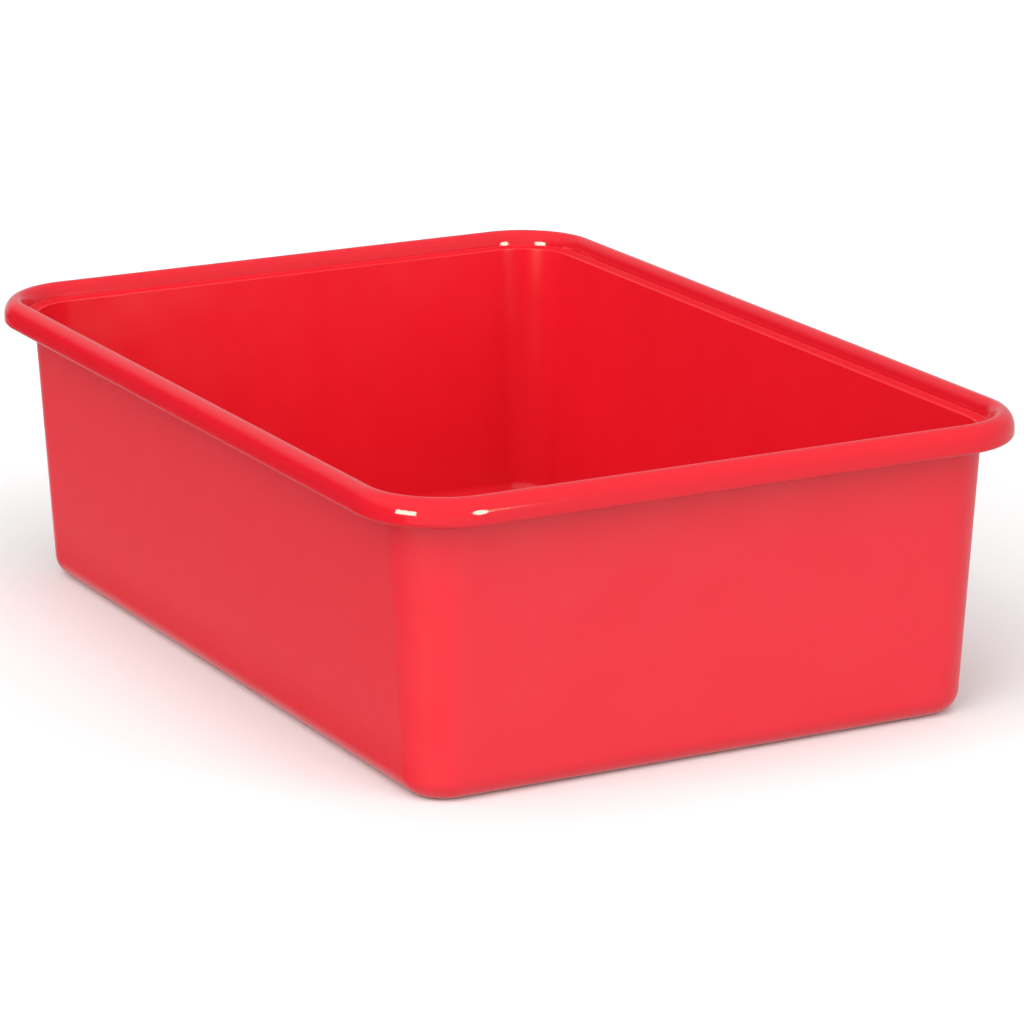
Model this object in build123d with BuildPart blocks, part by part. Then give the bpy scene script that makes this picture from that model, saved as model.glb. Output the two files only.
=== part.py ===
from build123d import *
import math
import os

os.makedirs("parts", exist_ok=True)

# ---------------------------------------------------------------------------
# Open-topped storage bin, one moulding: floor, four drafted walls and a
# stepped rim that rolls outward and down into an open J-shaped lip.
# Millimetres, +Z up, long side along Y.  The origin is the centre of the
# footprint on the standing plane.
# ---------------------------------------------------------------------------

# Overall size, measured over the rolled lip
LENGTH = 412.75
WIDTH = 292.1
HEIGHT = 127.0

# Sheet
WALL_T = 2.3
LIP_T = 2.6
DRAFT = math.radians(3.45)

# Rim, measured inward from the outermost line (inset) and down from the top (depth)
RIM_CORNER_R = 37.8
CROWN_INSET = 5.5
CROWN_DROP = 7.5
INNER_ROLL_A = 4.3
INNER_ROLL_B = 8.0
LEDGE_DEPTH = 6.6
LEDGE_ROOT = 0.35
LEDGE_EDGE_R = 0.5
LEDGE_UNDER_R = 1.6
SKIRT_END_DEPTH = 11.2
SKIRT_OUTER_R = 2.1
SKIRT_INNER_R = LIP_T - SKIRT_OUTER_R

# Where the outer wall face lies, given at the level of the skirt's free end
WALL_REF_INSET = 13.35
WALL_REF_Z = 115.75

# Base
BASE_OUTER_R = 9.5
BASE_INNER_R = 8.0
RECESS_DEPTH = 0.9
FLOOR_T = 2.3
RECESS_R = 3.0

# Moulding gate, centred under the floor
GATE_WELL_R = 7.0
GATE_WELL_DEPTH = 0.6
GATE_NUB_R = 1.5
GATE_NUB_H = 0.5

# ---------------------------------------------------------------------------
# Derived positions.  The section is drawn with its horizontal coordinate
# measured from the vertical axis shared by all the curves of one corner.
# ---------------------------------------------------------------------------
AXIS_X = WIDTH / 2 - RIM_CORNER_R
AXIS_Y = LENGTH / 2 - RIM_CORNER_R

tan_d = math.tan(DRAFT)
cos_d = math.cos(DRAFT)

wall_outer_r0 = RIM_CORNER_R - WALL_REF_INSET - WALL_REF_Z * tan_d
wall_inner_r0 = wall_outer_r0 - WALL_T / cos_d
floor_top_z = RECESS_DEPTH + FLOOR_T


def outer_r(z):
    """Outer wall face at height z."""
    return wall_outer_r0 + z * tan_d


def inner_r(z):
    """Inner wall face at height z."""
    return wall_inner_r0 + z * tan_d


def rim_point(inset, depth):
    """Section point given by inset and depth."""
    return (RIM_CORNER_R - inset, HEIGHT - depth)


def on_arc(centre, radius, angle):
    """Point on a circle, angle in radians from the section's +horizontal."""
    return (centre[0] + radius * math.cos(angle), centre[1] + radius * math.sin(angle))


def bisect(first, second):
    """Angle halfway between two angles."""
    return (first + second) / 2


# Outer foot rounding, tangent to the standing plane and the outer wall
foot_c = (outer_r(BASE_OUTER_R) - BASE_OUTER_R / cos_d, BASE_OUTER_R)
foot_start = (foot_c[0], 0.0)
foot_end = on_arc(foot_c, BASE_OUTER_R, -DRAFT)
foot_mid = on_arc(foot_c, BASE_OUTER_R, bisect(-math.pi / 2, -DRAFT))

# Inner foot rounding, tangent to the floor and the inner wall
cove_z = floor_top_z + BASE_INNER_R
cove_c = (inner_r(cove_z) - BASE_INNER_R / cos_d, cove_z)
cove_start = (cove_c[0], floor_top_z)
cove_end = on_arc(cove_c, BASE_INNER_R, -DRAFT)
cove_mid = on_arc(cove_c, BASE_INNER_R, bisect(-math.pi / 2, -DRAFT))

# Rounded edge between the ledge and the inner wall
edge_z = HEIGHT - LEDGE_DEPTH - LEDGE_EDGE_R
edge_c = (inner_r(edge_z) + LEDGE_EDGE_R / cos_d, edge_z)
edge_start = on_arc(edge_c, LEDGE_EDGE_R, math.pi - DRAFT)
edge_end = on_arc(edge_c, LEDGE_EDGE_R, math.pi / 2)
edge_mid = on_arc(edge_c, LEDGE_EDGE_R, bisect(math.pi / 2, math.pi - DRAFT))

# Hollow corner where the outer wall meets the ledge's underside
under_depth = LEDGE_DEPTH + WALL_T
under_z = HEIGHT - under_depth - LEDGE_UNDER_R
under_c = (outer_r(under_z) + LEDGE_UNDER_R / cos_d, under_z)
under_start = on_arc(under_c, LEDGE_UNDER_R, math.pi - DRAFT)
under_end = on_arc(under_c, LEDGE_UNDER_R, math.pi / 2)
under_mid = on_arc(under_c, LEDGE_UNDER_R, bisect(math.pi / 2, math.pi - DRAFT))

# Inner roll of the crown, cut off by the ledge with a small root between them
roll_c = rim_point(CROWN_INSET, INNER_ROLL_B)
roll_sin = 1 - (LEDGE_DEPTH - LEDGE_ROOT) / INNER_ROLL_B
roll_cut = math.asin(roll_sin)
root_top = (roll_c[0] - INNER_ROLL_A * math.cos(roll_cut), roll_c[1] + INNER_ROLL_B * roll_sin)
root_end = (root_top[0] - LEDGE_ROOT, HEIGHT - LEDGE_DEPTH)
root_mid = on_arc((root_end[0], root_top[1]), LEDGE_ROOT, -math.pi / 4)

# Underside of the inner roll and the rounded heel below it
roll_under_a = INNER_ROLL_A - WALL_T
roll_under_b = INNER_ROLL_B - WALL_T
heel_r = under_depth - INNER_ROLL_B
heel_c = rim_point(CROWN_INSET + roll_under_a + heel_r, INNER_ROLL_B)
heel_start = (heel_c[0], HEIGHT - under_depth)
heel_end = (heel_c[0] + heel_r, heel_c[1])
heel_mid = on_arc(heel_c, heel_r, -math.pi / 4)

# Outer roll of the crown
crown_c = rim_point(CROWN_INSET, CROWN_DROP)
crown_under_a = CROWN_INSET - LIP_T
crown_under_b = CROWN_DROP - WALL_T

# Free end of the skirt
skirt_outer_c = rim_point(SKIRT_OUTER_R, SKIRT_END_DEPTH - SKIRT_OUTER_R)
skirt_inner_c = rim_point(LIP_T - SKIRT_INNER_R, SKIRT_END_DEPTH - SKIRT_INNER_R)
skirt_end = rim_point(SKIRT_OUTER_R, SKIRT_END_DEPTH)


# Closed outline of floor edge, wall and rim, from the corner axis outward
with BuildSketch() as section:
    with BuildLine():
        # Underside of the floor, the step to the standing band, the foot
        Line((0, RECESS_DEPTH), (RECESS_R, RECESS_DEPTH))
        Line((RECESS_R, RECESS_DEPTH), (RECESS_R + RECESS_DEPTH, 0))
        Line((RECESS_R + RECESS_DEPTH, 0), foot_start)
        ThreePointArc(foot_start, foot_mid, foot_end)
        # Outer wall and the underside of the rim
        Line(foot_end, under_start)
        ThreePointArc(under_start, under_mid, under_end)
        Line(under_end, heel_start)
        ThreePointArc(heel_start, heel_mid, heel_end)
        EllipticalCenterArc(roll_c, roll_under_a, roll_under_b, start_angle=90, arc_size=90)
        EllipticalCenterArc(crown_c, crown_under_a, crown_under_b, start_angle=0, arc_size=90)
        Line(rim_point(LIP_T, CROWN_DROP), rim_point(LIP_T, SKIRT_END_DEPTH - SKIRT_INNER_R))
        # Free end and outer face of the skirt
        ThreePointArc(
            rim_point(LIP_T, SKIRT_END_DEPTH - SKIRT_INNER_R),
            on_arc(skirt_inner_c, SKIRT_INNER_R, -3 * math.pi / 4),
            skirt_end,
        )
        ThreePointArc(
            skirt_end,
            on_arc(skirt_outer_c, SKIRT_OUTER_R, -math.pi / 4),
            rim_point(0, SKIRT_END_DEPTH - SKIRT_OUTER_R),
        )
        Line(rim_point(0, SKIRT_END_DEPTH - SKIRT_OUTER_R), rim_point(0, CROWN_DROP))
        # Over the crown, down to the ledge, down the inner wall to the floor
        EllipticalCenterArc(crown_c, CROWN_INSET, CROWN_DROP, start_angle=0, arc_size=90)
        EllipticalCenterArc(
            roll_c,
            INNER_ROLL_A,
            INNER_ROLL_B,
            start_angle=90,
            arc_size=90 - math.degrees(roll_cut),
        )
        ThreePointArc(root_top, root_mid, root_end)
        Line(root_end, edge_end)
        ThreePointArc(edge_end, edge_mid, edge_start)
        Line(edge_start, cove_end)
        ThreePointArc(cove_end, cove_mid, cove_start)
        Line(cove_start, (0, floor_top_z))
        Line((0, floor_top_z), (0, RECESS_DEPTH))
    make_face()

long_side = Plane(origin=(AXIS_X, 0, 0), x_dir=(1, 0, 0), z_dir=(0, -1, 0))
short_side = Plane(origin=(0, AXIS_Y, 0), x_dir=(0, 1, 0), z_dir=(1, 0, 0))
corner = Plane(origin=(AXIS_X, AXIS_Y, 0), x_dir=(1, 0, 0), z_dir=(0, -1, 0))
corner_axis = Axis((AXIS_X, AXIS_Y, 0), (0, 0, 1))

with BuildPart() as bin_body:
    # Walls and rim along the straights
    with BuildSketch(long_side):
        add(section.sketch)
    extrude(amount=AXIS_Y, both=True)
    with BuildSketch(short_side):
        add(section.sketch)
    extrude(amount=AXIS_X, both=True)
    # One corner, turned about the axis its curves share
    with BuildSketch(corner):
        add(section.sketch)
    revolve(axis=corner_axis, revolution_arc=90)
    # The opposite sides and the other three corners
    mirror(about=Plane.XZ)
    mirror(about=Plane.YZ)
    # Middle of the floor
    with BuildSketch(Plane.XY.offset(RECESS_DEPTH)):
        Rectangle(2 * AXIS_X, 2 * AXIS_Y)
    extrude(amount=FLOOR_T)
    # Gate well and the trimmed gate left inside it
    with BuildSketch(Plane.XY.offset(RECESS_DEPTH)):
        Circle(GATE_WELL_R)
        Circle(GATE_NUB_R, mode=Mode.SUBTRACT)
    extrude(amount=GATE_WELL_DEPTH, mode=Mode.SUBTRACT)
    with BuildSketch(Plane.XY.offset(RECESS_DEPTH)):
        Circle(GATE_NUB_R)
    extrude(amount=GATE_WELL_DEPTH - GATE_NUB_H, mode=Mode.SUBTRACT)

bin_body.part.label = "bin"
export_step(bin_body.part, "parts/bin.step")
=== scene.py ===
import math

import bpy
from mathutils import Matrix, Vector


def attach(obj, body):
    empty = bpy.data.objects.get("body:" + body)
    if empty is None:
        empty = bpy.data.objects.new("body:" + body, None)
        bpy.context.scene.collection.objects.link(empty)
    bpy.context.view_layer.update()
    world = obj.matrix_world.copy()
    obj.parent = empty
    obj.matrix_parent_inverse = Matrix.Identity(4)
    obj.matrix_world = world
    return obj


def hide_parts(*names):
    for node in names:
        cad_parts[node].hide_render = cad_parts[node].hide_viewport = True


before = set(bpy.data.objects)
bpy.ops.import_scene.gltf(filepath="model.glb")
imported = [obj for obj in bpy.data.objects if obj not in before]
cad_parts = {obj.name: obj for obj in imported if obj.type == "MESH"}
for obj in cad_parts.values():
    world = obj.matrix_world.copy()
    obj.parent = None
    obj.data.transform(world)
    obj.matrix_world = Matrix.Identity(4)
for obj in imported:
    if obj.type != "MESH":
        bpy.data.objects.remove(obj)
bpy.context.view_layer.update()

# ---------------------------------------------------------------------------
# Sizes, in metres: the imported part's own section, drawn finer
# ---------------------------------------------------------------------------
MM = 0.001
LENGTH, WIDTH, HEIGHT = 412.75 * MM, 292.1 * MM, 127.0 * MM
WALL_T, LIP_T = 2.3 * MM, 2.6 * MM
DRAFT = math.radians(3.45)
RIM_CORNER_R = 37.8 * MM
CROWN_INSET, CROWN_DROP = 5.5 * MM, 7.5 * MM
ROLL_A, ROLL_B = 4.3 * MM, 8.0 * MM
LEDGE_DEPTH, LEDGE_ROOT = 6.6 * MM, 0.35 * MM
LEDGE_EDGE_R, LEDGE_UNDER_R, HEEL_R = 0.5 * MM, 1.6 * MM, 0.9 * MM
SKIRT_END, SKIRT_OUTER_R = 11.2 * MM, 2.1 * MM
SKIRT_INNER_R = LIP_T - SKIRT_OUTER_R
WALL_REF_INSET, WALL_REF_Z = 13.35 * MM, 115.75 * MM
FOOT_R, COVE_R = 9.5 * MM, 8.0 * MM
RECESS, FLOOR_T, RECESS_R = 0.9 * MM, 2.3 * MM, 3.0 * MM
GATE_R, GATE_DEPTH = 7.0 * MM, 0.6 * MM
NUB_R, NUB_H = 1.5 * MM, 0.5 * MM

AXIS_X = WIDTH / 2 - RIM_CORNER_R
AXIS_Y = LENGTH / 2 - RIM_CORNER_R
TAN, COS, SIN = math.tan(DRAFT), math.cos(DRAFT), math.sin(DRAFT)
OUTER_R0 = RIM_CORNER_R - WALL_REF_INSET - WALL_REF_Z * TAN
INNER_R0 = OUTER_R0 - WALL_T / COS
FLOOR_Z = RECESS + FLOOR_T
PI = math.pi
HALF_PI = math.pi / 2

CORNER_STEPS = 72
STRAIGHT_STEPS = 12
SAME_POINT = 1e-8


def outer_r(z):
    return OUTER_R0 + z * TAN


def inner_r(z):
    return INNER_R0 + z * TAN


def rim(inset, depth):
    return RIM_CORNER_R - inset, HEIGHT - depth


# ---------------------------------------------------------------------------
# Section, walked with the plastic on the left: underside, foot, outer wall,
# under the rim, round the lip, over the crown, ledge, inner wall, floor.
# Each point is (r, z, normal r, normal z, rim share, outside share).
# ---------------------------------------------------------------------------
section = []


def put(r, z, nr, nz, rim_share, out_share):
    section.append((r, z, nr, nz, rim_share, out_share))


def line(p, q, steps, rim0=0.0, rim1=0.0, out0=0.0, out1=0.0):
    dr, dz = q[0] - p[0], q[1] - p[1]
    k = math.hypot(dr, dz)
    for i in range(steps + 1):
        f = i / steps
        put(
            p[0] + dr * f, p[1] + dz * f, dz / k, -dr / k,
            rim0 + (rim1 - rim0) * f, out0 + (out1 - out0) * f,
        )


def arc(c, a, b, t0, t1, steps, rim0=0.0, rim1=0.0, out0=0.0, out1=0.0):
    s = 1 if t1 > t0 else -1
    for i in range(steps + 1):
        f = i / steps
        t = t0 + (t1 - t0) * f
        nr, nz = b * math.cos(t) * s, a * math.sin(t) * s
        k = math.hypot(nr, nz)
        put(
            c[0] + a * math.cos(t), c[1] + b * math.sin(t), nr / k, nz / k,
            rim0 + (rim1 - rim0) * f, out0 + (out1 - out0) * f,
        )


foot_c = (outer_r(FOOT_R) - FOOT_R / COS, FOOT_R)
foot_end = (foot_c[0] + FOOT_R * COS, foot_c[1] - FOOT_R * SIN)
under_depth = LEDGE_DEPTH + WALL_T
under_z = HEIGHT - under_depth - LEDGE_UNDER_R
under_c = (outer_r(under_z) + LEDGE_UNDER_R / COS, under_z)
under_start = (under_c[0] - LEDGE_UNDER_R * COS, under_c[1] + LEDGE_UNDER_R * SIN)
roll_c = rim(CROWN_INSET, ROLL_B)
roll_cut = math.asin(1 - (LEDGE_DEPTH - LEDGE_ROOT) / ROLL_B)
root_top = (roll_c[0] - ROLL_A * math.cos(roll_cut), HEIGHT - LEDGE_DEPTH + LEDGE_ROOT)
root_c = (root_top[0] - LEDGE_ROOT, root_top[1])
heel_c = rim(CROWN_INSET + ROLL_A - WALL_T + HEEL_R, under_depth - HEEL_R)
crown_c = rim(CROWN_INSET, CROWN_DROP)
skirt_c = rim(SKIRT_OUTER_R, SKIRT_END - SKIRT_OUTER_R)
skirt_ic = rim(LIP_T - SKIRT_INNER_R, SKIRT_END - SKIRT_INNER_R)
edge_z = HEIGHT - LEDGE_DEPTH - LEDGE_EDGE_R
edge_c = (inner_r(edge_z) + LEDGE_EDGE_R / COS, edge_z)
edge_end = (edge_c[0] - LEDGE_EDGE_R * COS, edge_c[1] + LEDGE_EDGE_R * SIN)
cove_z = FLOOR_Z + COVE_R
cove_c = (inner_r(cove_z) - COVE_R / COS, cove_z)
cove_end = (cove_c[0] + COVE_R * COS, cove_c[1] - COVE_R * SIN)

line((RECESS_R * 0.5, RECESS), (RECESS_R, RECESS), 1, out0=1, out1=1)
line((RECESS_R, RECESS), (RECESS_R + RECESS, 0), 2, out0=1, out1=1)
line((RECESS_R + RECESS, 0), (foot_c[0], 0), 2, out0=1, out1=1)
arc(foot_c, FOOT_R, FOOT_R, -HALF_PI, -DRAFT, 24, out0=1, out1=1)
line(foot_end, under_start, 40, out0=1, out1=1)
arc(under_c, LEDGE_UNDER_R, LEDGE_UNDER_R, PI - DRAFT, HALF_PI, 10, 0, 1, 1, 0)
line((under_c[0], under_c[1] + LEDGE_UNDER_R), (heel_c[0], HEIGHT - under_depth), 1, 1, 1)
arc(heel_c, HEEL_R, HEEL_R, -HALF_PI, 0, 6, 1, 1)
arc(roll_c, ROLL_A - WALL_T, ROLL_B - WALL_T, PI, HALF_PI, 10, 1, 1)
arc(crown_c, CROWN_INSET - LIP_T, CROWN_DROP - WALL_T, HALF_PI, 0, 12, 1, 1)
line(rim(LIP_T, CROWN_DROP), rim(LIP_T, SKIRT_END - SKIRT_INNER_R), 2, 1, 1)
arc(skirt_ic, SKIRT_INNER_R, SKIRT_INNER_R, PI, PI + HALF_PI, 6, 1, 1)
arc(skirt_c, SKIRT_OUTER_R, SKIRT_OUTER_R, -HALF_PI, 0, 16, 1, 1)
line(rim(0, SKIRT_END - SKIRT_OUTER_R), rim(0, CROWN_DROP), 2, 1, 1)
arc(crown_c, CROWN_INSET, CROWN_DROP, 0, HALF_PI, 40, 1, 1)
arc(roll_c, ROLL_A, ROLL_B, HALF_PI, PI - roll_cut, 36, 1, 1)
arc(root_c, LEDGE_ROOT, LEDGE_ROOT, 0, -HALF_PI, 6, 1, 0.1)
line((root_c[0], HEIGHT - LEDGE_DEPTH), (edge_c[0], edge_c[1] + LEDGE_EDGE_R), 2, 0.1, 0)
arc(edge_c, LEDGE_EDGE_R, LEDGE_EDGE_R, HALF_PI, PI - DRAFT, 14)
line(edge_end, cove_end, 40)
arc(cove_c, COVE_R, COVE_R, -DRAFT, -HALF_PI, 20)
line((cove_c[0], FLOOR_Z), (RECESS_R * 0.5, FLOOR_Z), 1)

# ---------------------------------------------------------------------------
# Path: each point of a section is carried round the four corner axes
# ---------------------------------------------------------------------------
CORNERS = ((1, 1), (-1, 1), (-1, -1), (1, -1))
spokes = []
for quarter, (sx, sy) in enumerate(CORNERS):
    start = 90 * quarter
    for i in range(CORNER_STEPS + 1):
        t = math.radians(start + 90 * i / CORNER_STEPS)
        spokes.append((sx * AXIS_X, sy * AXIS_Y, math.cos(t), math.sin(t)))
    t = math.radians(start + 90)
    nx, ny = CORNERS[(quarter + 1) % 4]
    for i in range(1, STRAIGHT_STEPS):
        f = i / STRAIGHT_STEPS
        px = sx * AXIS_X + (nx * AXIS_X - sx * AXIS_X) * f
        py = sy * AXIS_Y + (ny * AXIS_Y - sy * AXIS_Y) * f
        spokes.append((px, py, math.cos(t), math.sin(t)))

COLS, ROWS = len(spokes), len(section)
verts, normals, rimness, outside, faces = [], [], [], [], []


def add_vert(co, n, rim_share, out_share):
    verts.append(co)
    normals.append(n)
    rimness.append(rim_share)
    outside.append(out_share)
    return len(verts) - 1


def add_quad(a, b, c, d):
    """Adds a face, leaving out corners that fall on one another."""
    keep = []
    for v in (a, b, c, d):
        if all(math.dist(verts[v], verts[k]) > SAME_POINT for k in keep):
            keep.append(v)
    if len(keep) > 2:
        faces.append(tuple(keep))


for px, py, dx, dy in spokes:
    for r, z, nr, nz, rim_share, out_share in section:
        add_vert((px + r * dx, py + r * dy, z), (nr * dx, nr * dy, nz), rim_share, out_share)
for k in range(COLS):
    a, b = k * ROWS, (k + 1) % COLS * ROWS
    for m in range(ROWS - 1):
        add_quad(a + m, b + m, b + m + 1, a + m + 1)
faces.append(tuple(k * ROWS + ROWS - 1 for k in range(COLS)))

# Underside of the floor, with the gate well and the trimmed gate in its middle
gate_rings = [
    (GATE_R, RECESS, (0, 0, -1), None),
    (GATE_R, RECESS, None, -1), (GATE_R, RECESS + GATE_DEPTH, None, -1),
    (GATE_R, RECESS + GATE_DEPTH, (0, 0, -1), None), (NUB_R, RECESS + GATE_DEPTH, (0, 0, -1), None),
    (NUB_R, RECESS + GATE_DEPTH, None, 1), (NUB_R, RECESS + GATE_DEPTH - NUB_H, None, 1),
    (NUB_R, RECESS + GATE_DEPTH - NUB_H, (0, 0, -1), None),
]
angles = [math.atan2(verts[k * ROWS][1], verts[k * ROWS][0]) for k in range(COLS)]
last = [k * ROWS for k in range(COLS)]
for r, z, flat, turn in gate_rings:
    ring = []
    for t in angles:
        n = flat or (turn * math.cos(t), turn * math.sin(t), 0)
        ring.append(add_vert((r * math.cos(t), r * math.sin(t), z), n, 0, 1))
    for k in range(COLS):
        add_quad(last[(k + 1) % COLS], last[k], ring[k], ring[(k + 1) % COLS])
    last = ring
faces.append(tuple(reversed(last)))

mesh = bpy.data.meshes.new("bin_skin")
mesh.from_pydata(verts, [], faces)
mesh.update()
for f in mesh.polygons:
    f.use_smooth = True
mesh.normals_split_custom_set_from_vertices([Vector(n).normalized() for n in normals])
for name, values in (("rim_share", rimness), ("outside_share", outside)):
    layer = mesh.attributes.new(name, "FLOAT", "POINT")
    layer.data.foreach_set("value", values)
skin = bpy.data.objects.new("bin_skin", mesh)
bpy.context.scene.collection.objects.link(skin)
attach(skin, "root")
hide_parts("bin")


# ---------------------------------------------------------------------------
# Material helpers
# ---------------------------------------------------------------------------
def new_material(name):
    mat = bpy.data.materials.new(name)
    mat.use_nodes = True
    mat.node_tree.nodes.clear()
    return mat, mat.node_tree


def math_node(tree, operation, a, b=None):
    made = tree.nodes.new("ShaderNodeMath")
    made.operation = operation
    for socket, value in zip(made.inputs, (a, b)):
        if value is None:
            continue
        if isinstance(value, (int, float)):
            socket.default_value = value
        else:
            tree.links.new(value, socket)
    return made.outputs[0]


def noise(tree, coords, scale, detail=2.0, rough=0.5):
    made = tree.nodes.new("ShaderNodeTexNoise")
    made.inputs["Scale"].default_value = scale
    made.inputs["Detail"].default_value = detail
    made.inputs["Roughness"].default_value = rough
    tree.links.new(coords, made.inputs["Vector"])
    return made.outputs["Fac"]


def stretch(tree, coords, x, y, z):
    made = tree.nodes.new("ShaderNodeMapping")
    made.inputs["Scale"].default_value = (x, y, z)
    tree.links.new(coords, made.inputs["Vector"])
    return made.outputs["Vector"]


def remap(tree, value, a, b, c, d):
    made = tree.nodes.new("ShaderNodeMapRange")
    for socket, number in zip(("From Min", "From Max", "To Min", "To Max"), (a, b, c, d)):
        made.inputs[socket].default_value = number
    tree.links.new(value, made.inputs["Value"])
    return made.outputs["Result"]


def smooth(tree, value, a, b, c, d):
    made = tree.nodes.new("ShaderNodeMapRange")
    made.interpolation_type = "SMOOTHSTEP"
    for socket, number in zip(("From Min", "From Max", "To Min", "To Max"), (a, b, c, d)):
        made.inputs[socket].default_value = number
    tree.links.new(value, made.inputs["Value"])
    return made.outputs["Result"]


def mix_values(tree, share, a, b):
    made = tree.nodes.new("ShaderNodeMix")
    for socket, value in zip((made.inputs[0], made.inputs[2], made.inputs[3]), (share, a, b)):
        if isinstance(value, (int, float)):
            socket.default_value = value
        else:
            tree.links.new(value, socket)
    return made.outputs[0]


def mix_colours(tree, share, a, b):
    made = tree.nodes.new("ShaderNodeMix")
    made.data_type = "RGBA"
    for socket, value in zip((made.inputs[0], made.inputs[6], made.inputs[7]), (share, a, b)):
        if isinstance(value, (int, float)):
            socket.default_value = value
        elif isinstance(value, tuple):
            socket.default_value = (*value, 1.0)
        else:
            tree.links.new(value, socket)
    return made.outputs[2]


def attribute(tree, name):
    made = tree.nodes.new("ShaderNodeAttribute")
    made.attribute_name = name
    return made.outputs["Fac"]


def bump(tree, height, distance, strength, after=None):
    made = tree.nodes.new("ShaderNodeBump")
    made.inputs["Distance"].default_value = distance
    tree.links.new(height, made.inputs["Height"])
    if isinstance(strength, (int, float)):
        made.inputs["Strength"].default_value = strength
    else:
        tree.links.new(strength, made.inputs["Strength"])
    if after is not None:
        tree.links.new(after, made.inputs["Normal"])
    return made.outputs["Normal"]


# ---------------------------------------------------------------------------
# Red moulded plastic: glossy rim, satin inside, finely textured outside
# ---------------------------------------------------------------------------
RED = (0.640, 0.0092, 0.0190)
RED_DEEP = (0.610, 0.0084, 0.0178)
RED_PALE = (0.660, 0.0115, 0.0215)
# Outside red: deeper than the inside red, painted shade for the brighter light outside; a little pinker,
# painted sheen
RED_OUTSIDE_PAINTED_LIGHT = (0.595, 0.0100, 0.0235)
# Rim red: deeper still, painted shade that offsets the extra light the rim catches
RED_RIM_PAINTED_SHADE = (0.540, 0.0100, 0.0200)
SCUFF = (0.68, 0.045, 0.050)

plastic, tree = new_material("red_moulding")
here = tree.nodes.new("ShaderNodeTexCoord").outputs["Object"]
rim_part = attribute(tree, "rim_share")
out_part = attribute(tree, "outside_share")

# Pigment: slow clouds, and faint vertical flow from the floor gate up the walls
clouds = noise(tree, here, 9.0, 3.0, 0.55)
flow = noise(tree, stretch(tree, here, 60.0, 60.0, 7.0), 1.0, 2.0, 0.5)
speck = noise(tree, here, 900.0, 2.0, 0.6)
colour = mix_colours(tree, remap(tree, clouds, 0.35, 0.65, 0.0, 1.0), RED_DEEP, RED)
colour = mix_colours(tree, remap(tree, flow, 0.45, 0.75, 0.0, 0.35), colour, RED_PALE)
colour = mix_colours(tree, remap(tree, speck, 0.3, 0.7, 0.0, 0.12), colour, RED_DEEP)
# Outside colour: a deeper red than inside, painted shade that evens out the brighter light on the
# outside walls, and a little pinker, painted sheen
colour = mix_colours(tree, math_node(tree, "MULTIPLY", out_part, 0.85), colour, RED_OUTSIDE_PAINTED_LIGHT)
# The rim takes a deeper red: painted shade that offsets the extra light it catches
colour = mix_colours(tree, math_node(tree, "MULTIPLY", rim_part, 0.95), colour, RED_RIM_PAINTED_SHADE)

# Fine scuffs: short thin marks, gathered where the bin is handled and slid
split = tree.nodes.new("ShaderNodeSeparateXYZ")
tree.links.new(here, split.inputs[0])
near_foot = remap(tree, split.outputs["Z"], 0.0, 0.010, 1.0, 0.0)
handled = math_node(tree, "MAXIMUM", near_foot, math_node(tree, "MULTIPLY", rim_part, 0.45))
marks = noise(tree, stretch(tree, here, 90.0, 420.0, 700.0), 1.0, 4.0, 0.65)
marks = remap(tree, marks, 0.66, 0.74, 0.0, 1.0)
scuffs = math_node(tree, "MULTIPLY", marks, handled)
colour = mix_colours(tree, math_node(tree, "MULTIPLY", scuffs, 0.25), colour, SCUFF)

# Roughness by zone, then patchy, then rougher on the scuffs
ROUGH_INSIDE, ROUGH_OUTSIDE, ROUGH_RIM = 0.20, 0.32, 0.07
rough = mix_values(tree, out_part, ROUGH_INSIDE, ROUGH_OUTSIDE)
rough = mix_values(tree, rim_part, rough, ROUGH_RIM)
patches = remap(tree, noise(tree, here, 38.0, 4.0, 0.6), 0.3, 0.7, -0.035, 0.035)
patch_share = mix_values(tree, rim_part, 1.0, 0.35)
rough = math_node(tree, "ADD", rough, math_node(tree, "MULTIPLY", patches, patch_share))
rough = math_node(tree, "ADD", rough, math_node(tree, "MULTIPLY", scuffs, 0.15))

# Relief: long moulding waves, orange peel, the outside's spark texture, scuffs
waves = noise(tree, here, 16.0, 1.0, 0.4)
peel = noise(tree, here, 230.0, 1.5, 0.5)
grain = noise(tree, here, 1500.0, 2.0, 0.6)
normal = bump(tree, waves, 0.0012, 0.25)
normal = bump(tree, peel, 0.00006, 0.5, normal)
normal = bump(tree, grain, 0.00008, math_node(tree, "MULTIPLY", out_part, 0.6), normal)
normal = bump(tree, marks, 0.00002, math_node(tree, "MULTIPLY", handled, 0.4), normal)

shader = tree.nodes.new("ShaderNodeBsdfPrincipled")
shader.inputs["IOR"].default_value = 1.5
tree.links.new(colour, shader.inputs["Base Color"])
tree.links.new(rough, shader.inputs["Roughness"])
tree.links.new(normal, shader.inputs["Normal"])
surface = tree.nodes.new("ShaderNodeOutputMaterial")
tree.links.new(shader.outputs[0], surface.inputs["Surface"])
mesh.materials.append(plastic)

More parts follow.
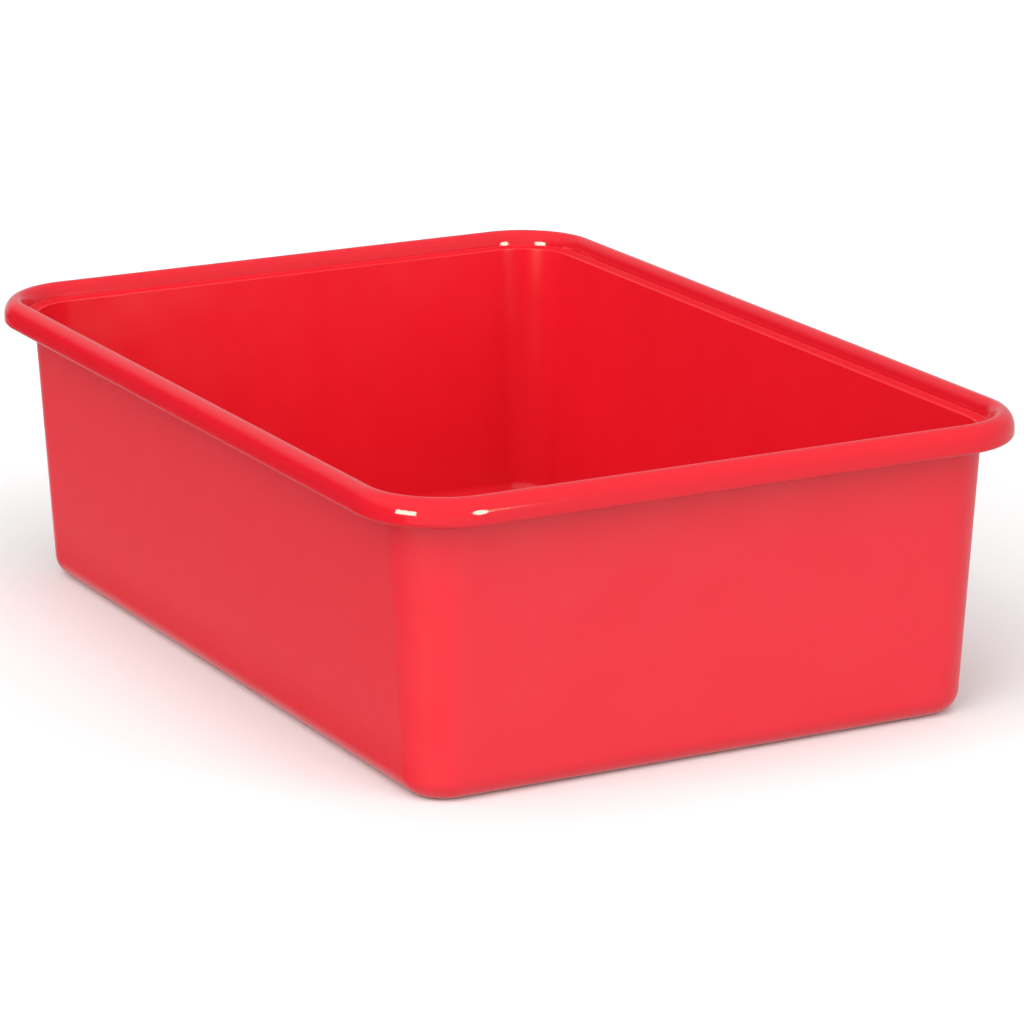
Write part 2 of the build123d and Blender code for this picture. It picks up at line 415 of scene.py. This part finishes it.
# ---------------------------------------------------------------------------
# Stage: pale floor, white surround, two key lamps, soft fill and a dim card
# ---------------------------------------------------------------------------
FLOOR_HALF = 7.0
floor_mesh = bpy.data.meshes.new("floor")
FLOOR_SIGNS = ((-1, -1), (1, -1), (1, 1), (-1, 1))
floor_mesh.from_pydata([(x * FLOOR_HALF, y * FLOOR_HALF, 0) for x, y in FLOOR_SIGNS], [], [(0, 1, 2, 3)])
floor = bpy.data.objects.new("floor", floor_mesh)
bpy.context.scene.collection.objects.link(floor)
paper, tree = new_material("paper")
here = tree.nodes.new("ShaderNodeTexCoord").outputs["Object"]
PAPER_DARK, PAPER_PALE = (0.71, 0.71, 0.71), (0.74, 0.74, 0.74)
tone = mix_colours(tree, noise(tree, here, 3.0, 3.0, 0.6), PAPER_DARK, PAPER_PALE)
shader = tree.nodes.new("ShaderNodeBsdfPrincipled")
shader.inputs["Roughness"].default_value = 0.85
shader.inputs["Specular IOR Level"].default_value = 0.1
tree.links.new(tone, shader.inputs["Base Color"])
surface = tree.nodes.new("ShaderNodeOutputMaterial")
tree.links.new(shader.outputs[0], surface.inputs["Surface"])
floor_mesh.materials.append(paper)
floor.visible_glossy = False

world = bpy.data.worlds.new("surround")
bpy.context.scene.world = world
world.use_nodes = True
tree = world.node_tree


def facing(direction, azimuth, low, high):
    """0 to 1 as a direction turns towards an azimuth, counted from +X towards +Y."""
    made = tree.nodes.new("ShaderNodeVectorMath")
    made.operation = "DOT_PRODUCT"
    tree.links.new(direction, made.inputs[0])
    a = math.radians(azimuth)
    made.inputs[1].default_value = (math.cos(a), math.sin(a), 0)
    return smooth(tree, made.outputs["Value"], low, high, 0.0, 1.0)


# Strength all round, what is added behind the bin, and the factor below the horizon
SURROUND, BACK_GLOW, BELOW = 0.50, 0.10, 1.15
GLOW_AZIMUTH, GLOOM_AZIMUTH = 75, 150
where = tree.nodes.new("ShaderNodeTexCoord").outputs["Generated"]
split = tree.nodes.new("ShaderNodeSeparateXYZ")
tree.links.new(where, split.inputs[0])
glow = math_node(tree, "MULTIPLY", facing(where, GLOW_AZIMUTH, 0.75, 0.95), BACK_GLOW)
low_down = smooth(tree, split.outputs["Z"], 0.12, 0.55, 1.0, 0.0)
gloom = math_node(tree, "MULTIPLY", facing(where, GLOOM_AZIMUTH, 0.5, 0.85), low_down)
level = math_node(tree, "ADD", glow, SURROUND)
level = math_node(tree, "MULTIPLY", level, math_node(tree, "SUBTRACT", 1.0, gloom))
level = math_node(tree, "MULTIPLY", level, smooth(tree, split.outputs["Z"], -0.06, 0.0, BELOW, 1.0))
tree.links.new(level, tree.nodes["Background"].inputs["Strength"])
tree.nodes["Background"].inputs["Color"].default_value = (1, 1, 1, 1)


KEY_COLOUR = (1.0, 0.94, 0.72)
FILL_SPREAD = math.radians(60)


def toward(azimuth, elevation):
    """Unit vector; azimuth counts from +X towards +Y."""
    a, e = math.radians(azimuth), math.radians(elevation)
    return Vector((math.cos(e) * math.cos(a), math.cos(e) * math.sin(a), math.sin(e)))


def panel(name, azimuth, elevation, distance, shape, size, radiance, aim):
    """A lamp for highlights only; size is (width, height) in metres."""
    lamp = bpy.data.lights.new(name, "AREA")
    lamp.shape = shape
    lamp.size, lamp.size_y = size
    area = size[0] * size[1] * (PI / 4 if shape == "ELLIPSE" else 1)
    lamp.energy = radiance * PI * area
    lamp.color = KEY_COLOUR
    made = bpy.data.objects.new(name, lamp)
    bpy.context.scene.collection.objects.link(made)
    made.location = Vector(aim) + toward(azimuth, elevation) * distance
    made.rotation_euler = (Vector(aim) - made.location).to_track_quat("-Z", "Y").to_euler()
    made.visible_diffuse = False


NEAR_CORNER = (-0.11, -0.17, 0.12)
KEY_ELEVATION, KEY_DISTANCE, KEY_RADIANCE = 9, 1.35, 24
for name, azimuth, shape, size in (
    ("key_left", 199.9, "RECTANGLE", (0.58, 0.42)),
    ("key_right", 286.7, "ELLIPSE", (0.46, 0.44)),
):
    panel(name, azimuth, KEY_ELEVATION, KEY_DISTANCE, shape, size, KEY_RADIANCE, NEAR_CORNER)


def soft_sun(name, azimuth, elevation, energy):
    """A very soft lamp that leaves no reflection of its own."""
    lamp = bpy.data.lights.new(name, "SUN")
    lamp.energy = energy
    lamp.angle = FILL_SPREAD
    made = bpy.data.objects.new(name, lamp)
    bpy.context.scene.collection.objects.link(made)
    made.rotation_euler = toward(azimuth, elevation).to_track_quat("Z", "Y").to_euler()
    made.visible_glossy = False


soft_sun("fill_left", 198, 28, 2.52)
soft_sun("fill_right", 288, 28, 1.66)
soft_sun("fill_top", 226, 75, 1.45)

# Dim card seen only in reflections: what the long side faces
CARD_NEAR, CARD_BEND, CARD_FAR = -0.15, -0.75, -1.6
CARD_FRONT, CARD_BACK = -0.3, 1.6
CARD_Z_NEAR, CARD_Z_BEND, CARD_Z_FAR = 0.001, 0.03, 0.30
card_mesh = bpy.data.meshes.new("dim_card")
card_mesh.from_pydata(
    [
        (CARD_NEAR, CARD_FRONT, CARD_Z_NEAR), (CARD_NEAR, CARD_BACK, CARD_Z_NEAR),
        (CARD_BEND, CARD_BACK, CARD_Z_BEND), (CARD_BEND, CARD_FRONT, CARD_Z_BEND),
        (CARD_FAR, CARD_BACK, CARD_Z_FAR), (CARD_FAR, CARD_FRONT, CARD_Z_FAR),
    ],
    [], [(0, 1, 2, 3), (3, 2, 4, 5)],
)
card = bpy.data.objects.new("dim_card", card_mesh)
bpy.context.scene.collection.objects.link(card)
dim, tree = new_material("dim_card")
where = tree.nodes.new("ShaderNodeTexCoord").outputs["Object"]
split = tree.nodes.new("ShaderNodeSeparateXYZ")
tree.links.new(where, split.inputs[0])
shader = tree.nodes.new("ShaderNodeEmission")
CARD_DARK, CARD_PALE = 0.01, 0.24
strength = smooth(tree, split.outputs["X"], -0.33, -0.28, CARD_DARK, CARD_PALE)
tree.links.new(strength, shader.inputs["Strength"])
surface = tree.nodes.new("ShaderNodeOutputMaterial")
tree.links.new(shader.outputs[0], surface.inputs["Surface"])
card_mesh.materials.append(dim)
card.visible_camera = False
card.visible_diffuse = False
card.visible_shadow = False
card.visible_transmission = False

# ---------------------------------------------------------------------------
# Camera
# ---------------------------------------------------------------------------
CAM_AZ, CAM_EL = math.radians(-28.213), math.radians(15.801)
CAM_DISTANCE = 2.067637
CAM_TARGET = Vector((0.01774, 0.010066, 0.050776))
FOCAL_PIXELS, FRAME_PIXELS = 4821.335, 1024
back = Vector((
    math.sin(CAM_AZ) * math.cos(CAM_EL), -math.cos(CAM_AZ) * math.cos(CAM_EL), math.sin(CAM_EL),
))
camera = bpy.data.cameras.new("camera")
camera.sensor_width = 36
camera.lens = FOCAL_PIXELS * camera.sensor_width / FRAME_PIXELS
camera.clip_start, camera.clip_end = 0.05, 60
camera_object = bpy.data.objects.new("camera", camera)
bpy.context.scene.collection.objects.link(camera_object)
camera_object.location = CAM_TARGET + back * CAM_DISTANCE
camera_object.rotation_euler = back.to_track_quat("Z", "Y").to_euler()
bpy.context.scene.camera = camera_object
bpy.context.scene.view_settings.view_transform = "Standard"
